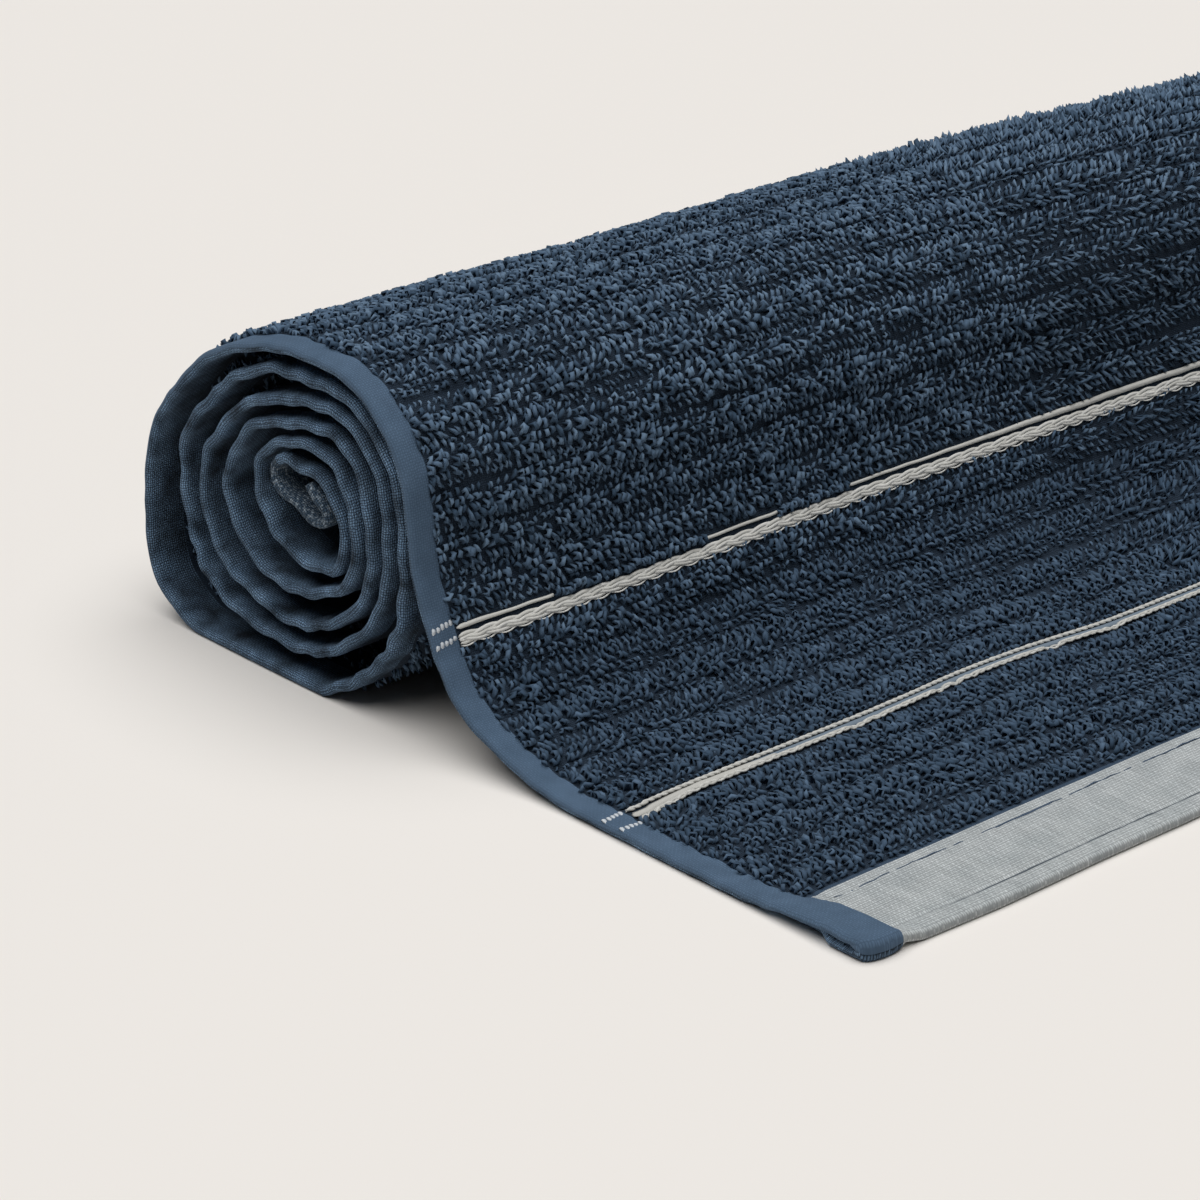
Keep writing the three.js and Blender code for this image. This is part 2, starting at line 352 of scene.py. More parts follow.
# Places of the mesh's columns across the towel, closest together at the side hems
NEAR_Y = [
    0.08, 0.3, 0.65, 1.1, 2.0, 3.0, 4.0, 4.6, 5.0, 5.5, 6.1, 7.0, 7.9, 8.4, 8.9, 9.4, 10.2, 11.8,
    14.0, 17.0, 21.0, 26.0, 33.0, 42.0,
]
MIDDLE_Y = [60.0, 82.0, 100.0, 125.0, 160.0, 205.0, 260.0, 315.0, 365.0, 410.0, 443.0]
COLUMN_Y = np.array(NEAR_Y + MIDDLE_Y + [WIDTH - y for y in reversed(NEAR_Y)])


def row_places():
    """Places of the mesh's rows along the towel, closest together at its two ends."""
    places = [0.0, 0.25, 0.8, 1.6, 2.6, 3.8, STITCH_S, 5.4]
    places += list(np.arange(6.8, RIBBED_LENGTH + 6, 1.35))
    places += list(np.arange(places[-1] + 1.6, LENGTH - 24, 1.6))
    places += list(np.arange(places[-1] + 1.2, LENGTH - 1.4, 1.2))
    return np.array(places + [LENGTH - 0.8, LENGTH - 0.25, LENGTH])


def edge_run_out(y):
    """The free edge is a little uneven."""
    return 0.35 * value_noise(y / 19.0, 3.5, 31) + 0.15 * value_noise(y / 6.0, 4.5, 32)


# Numbers of the cloth's materials, and the length of the pale band at the inner end
SIDE_HEM, END_HEM, BLUE_STRIP, GROUND, HEM_INSIDE, CORE_BAND = range(6)
CORE_BAND_LENGTH = 30


def material_of(s, y, inner):
    """Number of the material at each place. The side hem shows its coarse inside on the inner face
    and in the inner turns."""
    from_end = np.minimum(s, LENGTH - s)
    kind = np.where(from_end < FLAT_STRIP_END, BLUE_STRIP, GROUND)
    kind = np.where(from_end < END_HEM_LENGTH, END_HEM, kind)
    at_side = side_distance(y) < np.where(inner, HEM_FOLD_WIDTH, hem_width(s))
    hem = np.where(inner | (s > RIBBED_LENGTH), HEM_INSIDE, SIDE_HEM)
    hem = np.where(s > LENGTH - CORE_BAND_LENGTH, CORE_BAND, hem)
    return np.where(at_side, hem, kind)


def make_mesh(name, points, quads, triangles=None):
    """A smooth mesh object from arrays of points, of quads and of triangles."""
    triangles = np.zeros((0, 3), int) if triangles is None else triangles
    mesh = bpy.data.meshes.new(name)
    mesh.vertices.add(len(points))
    mesh.vertices.foreach_set("co", np.asarray(points, np.float32).ravel())
    corners = np.concatenate([quads.ravel(), triangles.ravel()])
    starts = np.concatenate([np.arange(len(quads)) * 4, len(quads) * 4 + np.arange(len(triangles)) * 3])
    mesh.loops.add(len(corners))
    mesh.loops.foreach_set("vertex_index", corners.astype(np.int32))
    mesh.polygons.add(len(starts))
    mesh.polygons.foreach_set("loop_start", starts.astype(np.int32))
    mesh.update(calc_edges=True)
    mesh.validate()
    mesh.polygons.foreach_set("use_smooth", np.ones(len(mesh.polygons), bool))
    piece = bpy.data.objects.new(name, mesh)
    bpy.context.scene.collection.objects.link(piece)
    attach(piece, "root")
    return piece


def set_materials(mesh, numbers):
    mesh.polygons.foreach_set("material_index", np.asarray(numbers).astype(np.int32))


def add_layout(mesh, name, u, v):
    """A flat layout of the mesh, from one place for each corner of its faces."""
    layout = mesh.uv_layers.new(name=name)
    layout.data.foreach_set("uv", np.stack([u, v], axis=-1).astype(np.float32).ravel())
    return layout


def corner_slit(s):
    """The two layers of the folded corner part a little along the side edge."""
    return CORNER_SLIT * ramp(s, 1.0, 4.0) * (1 - ramp(s, 18, 27))


def lower_lip(s):
    """The lower layer of the folded corner ends sooner than the upper one."""
    return LOWER_LIP * ramp(s, 9.0, 15.0) * (1 - ramp(s, 24, 34))


# How far the free edge stands back, by the distance from the side of the towel
CORNER_DISTANCE = [0.0, 1.5, 3.8, 6.0, 8.0, 9.0, 10.8, 20.0, 40.0]
CORNER_EDGE = [-5.8, -4.5, -3.9, -3.8, -3.9, -4.0, -3.8, -3.3, -2.75]


def corner_plan(y):
    """The corner of the side hem is rounded in plan, and the edge of the band curves towards it."""
    distance = side_distance(y)
    wanted = np.interp(distance, CORNER_DISTANCE, CORNER_EDGE)
    return (wanted - smooth_sections(y, SECTION_EDGE)) * (1 - ramp(distance, 25, 40))


def cloth_rings(rows):
    """A ring of points around the cloth at each row: the outer face, the far edge, the inner face and
    the near edge."""
    s = rows[:, None]
    y = COLUMN_Y[None, :]
    side_share = edge_rounding(side_distance(y), EDGE_ROUNDING)
    end_share = edge_rounding(np.minimum(s, LENGTH - s), EDGE_ROUNDING)
    narrow = side_share * (0.25 + 0.75 * end_share)
    run_out = np.where(s < 40, edge_run_out(y) * (1 - s / 40), 0.0)
    run_out = run_out + corner_plan(y) * (1 - ramp(s, 0, 14))
    down = down_reach(s, y)
    outer = surface(s, y, half_thickness(s, y, True) * narrow, down, run_out)[0]
    inner = surface(s, y, -half_thickness(s, y, False) * narrow, down, run_out)[0]
    near = surface(s, np.zeros((1, 1)), 0.0, down[:, :1], run_out[:, :1])[0]
    far = surface(s, np.full((1, 1), WIDTH), 0.0, down[:, -1:], run_out[:, -1:])[0]
    slit = corner_slit(rows)
    near[:, 0, 1] += slit
    far[:, 0, 1] -= slit
    lip = (1 - ramp(side_distance(y), 1.0, 5.0)) * lower_lip(s)
    inner[..., 1] += np.where(y < WIDTH / 2, lip, -lip)
    return np.concatenate([outer, far, inner[:, ::-1], near], axis=1)


def ring_faces(rings, size):
    """Quads between the rings and across the first and last one, and triangles at their tips."""
    count = len(COLUMN_Y)
    last_ring = (rings - 1) * size
    r, c = np.meshgrid(np.arange(rings - 1), np.arange(size), indexing="ij")
    n = (c + 1) % size
    quads = np.stack([r * size + c, r * size + n, (r + 1) * size + n, (r + 1) * size + c], axis=-1)
    k = np.arange(count - 1)
    back = 2 * count - k
    first = np.stack([k, back, back - 1, k + 1], axis=-1)
    last = last_ring + first[:, [0, 3, 2, 1]]
    near_tip = np.array([0, size - 1, size - 2])
    far_tip = np.array([count - 1, count + 1, count])
    tips = [near_tip, far_tip, last_ring + near_tip[::-1], last_ring + far_tip[::-1]]
    return np.concatenate([quads.reshape(-1, 4), first, last]), np.array(tips)


def build_cloth():
    rows = row_places()
    rings = cloth_rings(rows)
    size = rings.shape[1]
    piece = make_mesh("towel_cloth", row_frame(rings.reshape(-1, 3)), *ring_faces(len(rows), size))
    ring_y = np.concatenate([COLUMN_Y, [WIDTH], COLUMN_Y[::-1], [0.0]])
    colour_cloth(piece.data, rows, ring_y, size)
    return piece


def weave_place(y):
    """Places across the towel as the threads lie, measured around the rounded side edges."""
    distance = side_distance(y)
    turned = np.arccos(1 - np.clip(distance / EDGE_ROUNDING, 0, 1))
    around = EDGE_ROUNDING * (1 + turned - math.pi / 2)
    distance = np.where(distance < EDGE_ROUNDING, around, distance)
    return np.where(y < WIDTH / 2, distance, WIDTH - distance)


def colour_cloth(mesh, rows, ring_y, size):
    """Material of each face, and two layouts: the cloth laid flat in millimetres for the weaves, and
    its outer and inner face side by side in one square."""
    corners = np.empty(len(mesh.loops), np.int32)
    mesh.loops.foreach_get("vertex_index", corners)
    starts = np.empty(len(mesh.polygons), np.int32)
    totals = np.empty(len(mesh.polygons), np.int32)
    mesh.polygons.foreach_get("loop_start", starts)
    mesh.polygons.foreach_get("loop_total", totals)
    s = rows[corners // size]
    y = ring_y[corners % size]
    inner = (corners % size) >= len(COLUMN_Y) + 1
    middle_s = np.add.reduceat(s, starts) / totals
    middle_y = np.add.reduceat(y, starts) / totals
    is_inner = np.add.reduceat(inner.astype(float), starts) / totals > 0.5
    set_materials(mesh, material_of(middle_s, middle_y, is_inner))
    add_layout(mesh, "Weave", s, weave_place(y))
    face = np.repeat(is_inner, totals)
    margin = 0.005
    across = margin + 0.485 * y / WIDTH + np.where(face, 0.5, 0.0)
    bake = add_layout(mesh, "OFBake", margin + 0.99 * s / LENGTH, across)
    bake.active = True


# A loop's half width, height and yarn radius, each as its least and how much more it may be; and how
# deep its feet stand in the ground
LOOP_REACH = (0.60, 0.22)
LOOP_HEIGHT = (1.35, 0.50)
LOOP_RADIUS = (0.38, 0.10)
LOOP_FOOT_DEPTH = 0.25


def loop_points(s, y, rng, rings, outer, lay, size):
    """Points of the loops, three in each ring of the bent tube that a loop is. Both its feet stand in
    the ground, and lay leans it along the cloth."""
    count = len(s)
    side = 1.0 if outer else -1.0
    half = half_thickness(s, y, outer)
    foot, along, normal = surface(s, y, side * (half - LOOP_FOOT_DEPTH), down_reach(s, y))
    normal = normal * side
    across = np.cross(normal, along)
    turn = rng.normal(0, 0.40, count) + 0.35 * value_noise(s / 9.0, y / 12.0, 41)
    lean_s = rng.normal(0, 0.24, count) + 0.25 * value_noise(s / 11.0, y / 9.0, 42) + lay
    lean_y = rng.normal(0, 0.30, count) + 0.25 * value_noise(s / 7.0, y / 10.0, 43)
    flat = (np.cos(turn)[:, None] * along) + (np.sin(turn)[:, None] * across)
    up = normal + lean_s[:, None] * along + lean_y[:, None] * across
    up /= np.linalg.norm(up, axis=1)[:, None]
    reach, height, radius = (
        (least + more * rng.random(count)) * size for least, more in (LOOP_REACH, LOOP_HEIGHT, LOOP_RADIUS)
    )
    cross = np.cross(flat, up)
    cross /= np.linalg.norm(cross, axis=1)[:, None]
    points = np.empty((count, rings, 3, 3))
    spin = rng.uniform(0, 2 * math.pi / 3, count)
    for ring, angle in enumerate(np.linspace(math.radians(-8), math.radians(188), rings)):
        sine, cosine = math.sin(angle), math.cos(angle)
        middle = foot + flat * (reach * cosine)[:, None] + up * (height * sine)[:, None]
        tangent = -flat * (reach * sine)[:, None] + up * (height * cosine)[:, None]
        tangent /= np.linalg.norm(tangent, axis=1)[:, None]
        other = np.cross(tangent, cross)
        thick = radius * (0.65 + 0.6 * max(sine, 0.0))
        for corner in range(3):
            turned = spin + corner * 2 * math.pi / 3
            points[:, ring, corner] = middle + (
                (thick * np.cos(turned))[:, None] * cross + (thick * np.sin(turned))[:, None] * other
            )
    return points


# Numbers of the pile's tones, and the stretch of s over which the loops grow darker towards the
# lying end: painted shade
PILE_MID, PILE_DEEP, PILE_LIGHT, PILE_PAINTED_SHADE = range(4)
PAINTED_SHADE_S = (128, 112)


def loop_tones(s, rng):
    # Painted shade: on the lying end most mid loops take the darker fourth tone, and none take the light
    # one
    painted_shade = ramp(s, *PAINTED_SHADE_S)
    draw = rng.random(len(s))
    tone = np.where(draw > 0.78 + 0.22 * painted_shade, PILE_LIGHT, PILE_MID)
    tone = np.where(draw < 0.28, PILE_DEEP, tone)
    shaded = rng.random(len(s)) < 0.92 * painted_shade
    return np.where((tone == PILE_MID) & shaded, PILE_PAINTED_SHADE, tone)


def build_loops(name, s, y, rng, rings, outer, lay, size):
    """A piece of terry loops, without those that would reach into the floor."""
    points = loop_points(s, y, rng, rings, outer, lay, size)
    above = points[..., 2].min(axis=(1, 2)) > 0.02
    points = points[above]
    tone = loop_tones(s[above], rng)
    quads = []
    for ring in range(rings - 1):
        for corner in range(3):
            a, b = ring * 3 + corner, ring * 3 + (corner + 1) % 3
            quads.append((a, b, b + 3, a + 3))
    top = (rings - 1) * 3
    caps = [(2, 1, 0), (top, top + 1, top + 2)]
    base = np.arange(len(points))[:, None, None] * rings * 3
    piece = make_mesh(
        name, row_frame(points.reshape(-1, 3)),
        (base + np.array(quads)[None]).reshape(-1, 4),
        (base + np.array(caps)[None]).reshape(-1, 3),
    )
    set_materials(piece.data, np.concatenate([np.repeat(tone, len(quads)), np.repeat(tone, len(caps))]))
    return piece


# Where along the upper stripe its thin line shows, and where loops cover it
THIN_LINE_S = 127.7
THIN_LINE_Y = [0, 27, 33, 68, 76, 88, 93, 108, 116]
THIN_LINE_SEEN = [1, 1, 0, 0, 1, 1, 0, 0, 1]


def thin_line_seen(y):
    return np.interp(y, THIN_LINE_Y, THIN_LINE_SEEN) + 0.35 * value_noise(y / 2.6, 1.5, 84)


# Rows of loops on a rib, by their share of its width
LOOP_ROWS = [0.16, 0.33, 0.5, 0.67, 0.84]
LOOP_STEP = 1.5


def loop_places(low_y, high_y, rng, step):
    """Places of the loops on the ribs, how far each leans along the cloth, and its size. A few more
    cover the hidden stretches of the thin line."""
    places = []
    for at, pitch in RIBS:
        for share in LOOP_ROWS:
            y = np.arange(low_y + rng.uniform(0, step), high_y, step)
            y = y + rng.uniform(-0.5, 0.5, len(y))
            inset = hem_width(at + share * pitch) + 0.2 + rng.uniform(-0.3, 0.4, len(y))
            y = np.clip(y, inset, WIDTH - inset)
            spread = 1 + 0.16 * value_noise(y / 13.0, at / 5.0, 53)
            s = at + (0.5 + (share - 0.5) * spread) * pitch + rng.normal(0, 0.2, len(y))
            s = s + 0.5 * value_noise(y / 17.0, at / 5.0, 51)
            u = (share - 0.5) / 0.35
            size = 1.05 - 0.2 * u * u + 0.12 * value_noise(y / 11.0, at / 5.0, 54)
            size = size + 0.27 * value_noise(y / 4.2, (at + share * pitch) / 2.4, 57)
            lean = u * (0.85 + 0.35 * value_noise(y / 15.0, at / 4.0, 55))
            places.append(np.stack([s, y, lean, size], axis=-1))
    places = np.concatenate(places)
    keep = np.ones(len(places), bool)
    for stripe in STRIPES:
        shift = 0.4 * value_noise(places[:, 1] / 9.0, stripe["start"], 52)
        low = stripe["start"] - 0.2 + shift
        high = stripe["start"] + stripe["width"] + 0.3 + shift
        keep &= ~((places[:, 0] > low) & (places[:, 0] < high))
    y = np.arange(low_y, high_y, step / 2)
    y = y[thin_line_seen(y) < 0.45]
    s = THIN_LINE_S + rng.uniform(-0.4, 0.6, len(y))
    lean = rng.uniform(-0.3, 0.3, len(y))
    covering = np.stack([s, y, lean, np.full(len(y), 0.95)], axis=-1)
    return np.concatenate([places[keep], covering])


# The pieces of the pile: from where to where across the towel, and how coarse their loops are
PILE_BANDS = [(5.0, 85, 1.0), (85, 170, 1.0), (170, 275, 1.25), (275, 383, 1.55), (383, 495.0, 1.55)]


def build_pile():
    pieces = []
    for number, (low, high, coarse) in enumerate(PILE_BANDS):
        rng = np.random.default_rng(100 + number)
        s, y, lean, size = loop_places(low, high, rng, LOOP_STEP * coarse).T
        rings = 4 if coarse == 1.0 else 3
        size = size * math.sqrt(coarse)
        pieces.append(build_loops(f"pile_{number}", s, y, rng, rings, outer=True, lay=lean, size=size))
    return pieces


# The loops between the turns: how deep they go in from the side hem, and how many to a square
# millimetre
BETWEEN_DEPTH = 13.0
BETWEEN_DENSITY = 0.22


def build_inner_pile():
    """Loops that show between the turns of the roll, just behind the side hems."""
    rng = np.random.default_rng(200)
    pieces = []
    for name, outer, start, end in (
        ("pile_between_inner", False, LIFT_OFF, LOOSE_LENGTH + 420),
        ("pile_between_outer", True, RIBBED_LENGTH + 1, RIBBED_LENGTH + 170),
    ):
        count = int((end - start) * BETWEEN_DEPTH * 2 * BETWEEN_DENSITY)
        s = rng.uniform(start, end, count)
        y = hem_width(s, outer) + 0.5 + BETWEEN_DEPTH * rng.random(count)
        y = np.where(rng.random(count) < 0.5, y, WIDTH - y)
        size = 0.85 if outer else 0.75
        pieces.append(build_loops(name, s, y, rng, 3, outer, lay=0.0, size=size))
    return pieces


def thread(s, y, out, half, tone):
    """A thread's places on the outer face, its half width and half height, and its yarn's number."""
    s, y, out = np.broadcast_arrays(*(np.asarray(v, float) for v in (s, y, out)))
    return {"s": s, "y": y, "out": out, "half": half, "tone": tone}


END_TAPER = 0.35


def tube_points(strand, sides):
    """Points of the tube around a thread, one line along it after another."""
    s, y = strand["s"], strand["y"]
    middle, _, normal = surface(s, y, strand["out"], down_reach(s, y))
    tangent = np.gradient(middle, axis=0)
    tangent /= np.linalg.norm(tangent, axis=1)[:, None]
    across = np.cross(tangent, normal)
    across /= np.linalg.norm(across, axis=1)[:, None]
    rise = np.cross(across, tangent)
    wide, high = (np.broadcast_to(v, s.shape)[:, None] for v in strand["half"])
    taper = np.ones((len(s), 1))
    taper[[0, -1]] = END_TAPER
    lines = []
    for side in range(sides):
        angle = 2 * math.pi * (side + 0.5) / sides
        around = wide * math.cos(angle) * across + high * math.sin(angle) * rise
        lines.append(middle + taper * around)
    return np.concatenate(lines)


def tube_faces(rows, sides):
    """Quads around such a tube, and the triangles that close its two ends."""
    r, c = np.meshgrid(np.arange(rows - 1), np.arange(sides), indexing="ij")
    n = (c + 1) % sides
    quads = np.stack([c * rows + r + 1, n * rows + r + 1, n * rows + r, c * rows + r], axis=-1)
    start = np.array([((k + 1) * rows, k * rows, 0) for k in range(1, sides - 1)])
    end = start[:, ::-1] + rows - 1
    return quads.reshape(-1, 4), np.concatenate([start, end])


def sweep_threads(name, threads, sides=5):
    """A piece made of threads, as thread() gives them."""
    points, quads, caps, quad_tones, cap_tones = [], [], [], [], []
    base = 0
    for strand in threads:
        around, ends = tube_faces(len(strand["s"]), sides)
        points.append(tube_points(strand, sides))
        quads.append(base + around)
        caps.append(base + ends)
        quad_tones += [strand["tone"]] * len(around)
        cap_tones += [strand["tone"]] * len(ends)
        base += len(points[-1])
    points = row_frame(np.concatenate(points))
    piece = make_mesh(name, points, np.concatenate(quads), np.concatenate(caps))
    set_materials(piece.data, quad_tones + cap_tones)
    return piece


# Numbers of the yarns
WHITE, CREAM, MARK, GREY, NAVY, BRAID_WHITE_PAINTED_LIGHT, BRAID_CREAM_PAINTED_LIGHT, BLUE_GREY = range(8)

# The lines of the stripes: where each lies along the cloth, how far out its yarns' middle is, their
# half width and half height, and over what length its pattern repeats
Line = namedtuple("Line", "s out half repeat", defaults=[None])
BRAID = Line(125.35, 1.47, (0.41, 0.22), 14.4)
BRAID_EDGE = Line(124.4, 1.36, (0.17, 0.17), 4.8)
CRISP_LINE = Line(71.3, 1.5, (0.33, 0.27), 3.4)
SOFT_LINE = Line(68.95, 1.45, (0.36, 0.24), 6.2)
FILL_YARN = Line(69.95, 1.32, (0.3, 0.2))
GAP_YARN = Line(70.1, 1.18, (1.05, 0.16))


def between_hems(step, end=WIDTH - HEM_FACE_WIDTH):
    """Places across the towel from one side hem to the other, or to another end."""
    return np.arange(HEM_FACE_WIDTH + 0.2, end, step)


def stripe_fan(y):
    """The lines of the lower stripe spread near the side hems."""
    return 1 - ramp(side_distance(y), 4, 24)


def build_braid_stripe():
    """The upper stripe: a flat braid of thick yarn with a thin broken line above it."""
    y = between_hems(0.85)
    threads = []
    for strand in range(3):
        turn = 2 * math.pi * (y / BRAID.repeat + strand / 3) + 0.5 * value_noise(y / 23.0, strand, 81)
        for yarn, offset in enumerate((-0.31, 0.31)):
            s = BRAID.s + 0.55 * np.sin(turn) + offset * (1 + 0.25 * np.cos(turn))
            s = s + 0.05 * value_noise(y / 2.0, strand, 82)
            out = BRAID.out + 0.1 * np.sin(2 * turn) + 0.04 * value_noise(y / 3.0, yarn + 5, 83)
            tone = (BRAID_WHITE_PAINTED_LIGHT, BRAID_CREAM_PAINTED_LIGHT)[(strand + yarn) % 2]
            threads.append(thread(s, y, out, BRAID.half, tone))
    y_edge = between_hems(0.6)
    arc = np.abs(np.sin(math.pi * y_edge / BRAID_EDGE.repeat))
    s, out = BRAID_EDGE.s - 0.62 * arc, BRAID_EDGE.out + 0.12 * arc
    threads.append(thread(s, y_edge, out, BRAID_EDGE.half, BRAID_WHITE_PAINTED_LIGHT))
    s = THIN_LINE_S + 0.12 * value_noise(y / 4.0, 3.5, 86)
    out = 0.75 + 0.79 * ramp(thin_line_seen(y), 0.3, 0.75)
    wide = 0.36 + 0.14 * (1 - ramp(y, 10, 20)) + 0.34 * ramp(y, 125, 180)
    threads.append(thread(s, y, out, (wide, 0.22), BRAID_CREAM_PAINTED_LIGHT))
    return sweep_threads("stripe_braid", threads)


def build_double_stripe():
    """The lower stripe: a crisp line and a softer one, with a blue-grey gap between them that pale
    yarn fills near the side hems."""
    y = between_hems(0.7)
    threads = []
    fan = stripe_fan(y)
    for ply, tone in enumerate((WHITE, CREAM)):
        turn = 2 * math.pi * y / CRISP_LINE.repeat + math.pi * ply
        s = CRISP_LINE.s - 0.5 * fan + 0.26 * np.cos(turn) + 0.08 * value_noise(y / 5.0, ply, 91)
        out = CRISP_LINE.out + 0.14 * np.sin(turn)
        threads.append(thread(s, y, out, CRISP_LINE.half, tone))
    for ply, tone in enumerate((CREAM, WHITE, CREAM)):
        turn = 2 * math.pi * (y / SOFT_LINE.repeat + ply / 3)
        s = SOFT_LINE.s - 2.2 * fan + 0.42 * np.sin(turn) + 0.1 * value_noise(y / 4.0, ply, 92)
        sink = 0.5 * ramp(value_noise(y / 8.0, 2.5, 93) + 0.3 * value_noise(y / 2.5, 4.5, 94), 0.25, 0.6)
        out = SOFT_LINE.out + 0.12 * np.cos(2 * turn) - sink
        threads.append(thread(s, y, out, SOFT_LINE.half, tone))
    y = between_hems(0.8, 44.0)
    s = FILL_YARN.s - 1.3 * stripe_fan(y) + 0.15 * value_noise(y / 3.0, 5.5, 83)
    wide, high = FILL_YARN.half
    wide = wide + 0.75 * (1 - ramp(y, 30, 44)) * (1 + 0.2 * value_noise(y / 1.9, 7.5, 84))
    threads += [thread(s, side_y, FILL_YARN.out, (wide, high), CREAM) for side_y in (y, WIDTH - y)]
    y = between_hems(1.4)
    threads.append(thread(GAP_YARN.s - 1.3 * stripe_fan(y), y, GAP_YARN.out, GAP_YARN.half, BLUE_GREY))
    return sweep_threads("stripe_double", threads)


# Dashes on the side hem: their places along it and how far they slant, their places across it, their
# length, and their half width and half height
HEM_MARKS = [(128.2, 0.15), (124.9, 0.2), (71.1, 0.05), (66.2, 0.0)]
HEM_MARK_Y = [0.7, 1.75, 2.8, 3.85, 4.9]
HEM_MARK_LENGTH = 1.25
HEM_MARK_HALF = (0.44, 0.17)


def build_hem_marks():
    """Where the stripes run into the side hems, their threads show as short dashes along the hem."""
    rng = np.random.default_rng(300)
    lift = np.array([-0.12, 0.04, 0.08, 0.04, -0.12])
    threads = []
    for at, slant in HEM_MARKS:
        for y0 in HEM_MARK_Y:
            length = HEM_MARK_LENGTH + rng.uniform(-0.25, 0.25)
            start = at + slant * y0 - length / 2 + rng.uniform(-0.15, 0.15)
            s = np.linspace(start, start + length, 5)
            for middle in (y0, WIDTH - y0):
                y = middle + np.linspace(-0.15, 0.15, 5)
                out = half_thickness(s, y, True) * edge_rounding(side_distance(y), EDGE_ROUNDING) + lift
                threads.append(thread(s, y, out, HEM_MARK_HALF, MARK))
    return sweep_threads("hem_marks", threads)


# The navy line below the band's top, and where a thicker stretch of it lies along the cloth and
# across it
NAVY_LINE_S = 20.0
NAVY_FLOAT_S = 19.8
NAVY_FLOAT_Y = (51.5, 67.5)


def build_band_stitches():
    """The stitch line above the folded edge, and the uneven navy line below the band's top."""
    rng = np.random.default_rng(400)
    threads = []
    y = np.arange(HEM_FOLD_WIDTH + 1.5, WIDTH - HEM_FOLD_WIDTH - 2.5, 1.1)
    for at, wide, rough, tone in ((STITCH_S, 0.21, 0.05, GREY), (NAVY_LINE_S, 0.17, 0.14, NAVY)):
        s = at + 0.3 * value_noise(y / 14.0, at, 95) + 0.16 * value_noise(y / 1.7, at, 87)
        lift = rough * value_noise(y / 2.6, at, 88) + 0.6 * rough * rng.uniform(-1, 1, len(y))
        half = wide * (1 + 0.35 * value_noise(y / 2.0, at, 89))
        threads.append(thread(s, y, half_thickness(s, y, True) + lift, (half, 0.14), tone))
    y = np.arange(*NAVY_FLOAT_Y, 0.8)
    s = NAVY_FLOAT_S + 0.3 * value_noise(y / 4.0, 6.5, 96) + 0.3 * value_noise(y / 13.0, 2.5, 97)
    lift = 0.14 * value_noise(y / 2.2, 1.5, 98) - 0.02
    wide = 0.32 + 0.16 * value_noise(y / 3.0, 3.5, 99)
    threads.append(thread(s, y, half_thickness(s, y, True) + lift, (wide, 0.2), NAVY))
    return sweep_threads("band_stitches", threads, 4)


def plain_material(name, colour, roughness, sheen=0.0, sheen_tint=(1, 1, 1)):
    material = bpy.data.materials.new(name)
    material.use_nodes = True
    shader = material.node_tree.nodes["Principled BSDF"]
    shader.inputs["Base Color"].default_value = (*colour, 1)
    shader.inputs["Roughness"].default_value = roughness
    shader.inputs["Specular IOR Level"].default_value = 0.12
    shader.inputs["Sheen Weight"].default_value = sheen
    shader.inputs["Sheen Roughness"].default_value = 0.5
    shader.inputs["Sheen Tint"].default_value = (*sheen_tint, 1)
    return material


class Wiring:
    """Adds nodes to a material whose pattern follows a flat layout, and joins them."""

    def __init__(self, tree, layout):
        self.nodes = tree.nodes
        self.links = tree.links
        self.place = self.add("ShaderNodeUVMap", uv_map=layout).outputs["UV"]

    def add(self, kind, **settings):
        node = self.nodes.new(kind)
        for name, value in settings.items():
            setattr(node, name, value)
        return node

    def put(self, value, socket):
        """Sets a socket to a number or a colour, or links another node's output to it."""
        if isinstance(value, (int, float)):
            socket.default_value = value
        elif isinstance(value, tuple):
            socket.default_value = (*value, 1)
        else:
            self.links.new(value, socket)

    def fill(self, node, **sockets):
        for name, value in sockets.items():
            self.put(value, node.inputs[name.replace("_", " ")])
        return node

    def calc(self, operation, a, b=0.0):
        node = self.add("ShaderNodeMath", operation=operation)
        self.put(a, node.inputs[0])
        self.put(b, node.inputs[1])
        return node.outputs[0]

    def noise(self, scale, detail, vector=None):
        node = self.add("ShaderNodeTexNoise")
        return self.fill(node, Scale=scale, Detail=detail, Vector=vector or self.place).outputs["Fac"]

    def remap(self, value, low_in, high_in, low_out, high_out):
        node = self.add("ShaderNodeMapRange")
        ends = {"From_Min": low_in, "From_Max": high_in, "To_Min": low_out, "To_Max": high_out}
        return self.fill(node, Value=value, **ends).outputs[0]

    def mix(self, share, a, b, blend="MIX"):
        node = self.add("ShaderNodeMix", data_type="RGBA", blend_type=blend)
        for value, socket in ((share, 0), (a, 6), (b, 7)):
            self.put(value, node.inputs[socket])
        return node.outputs[2]


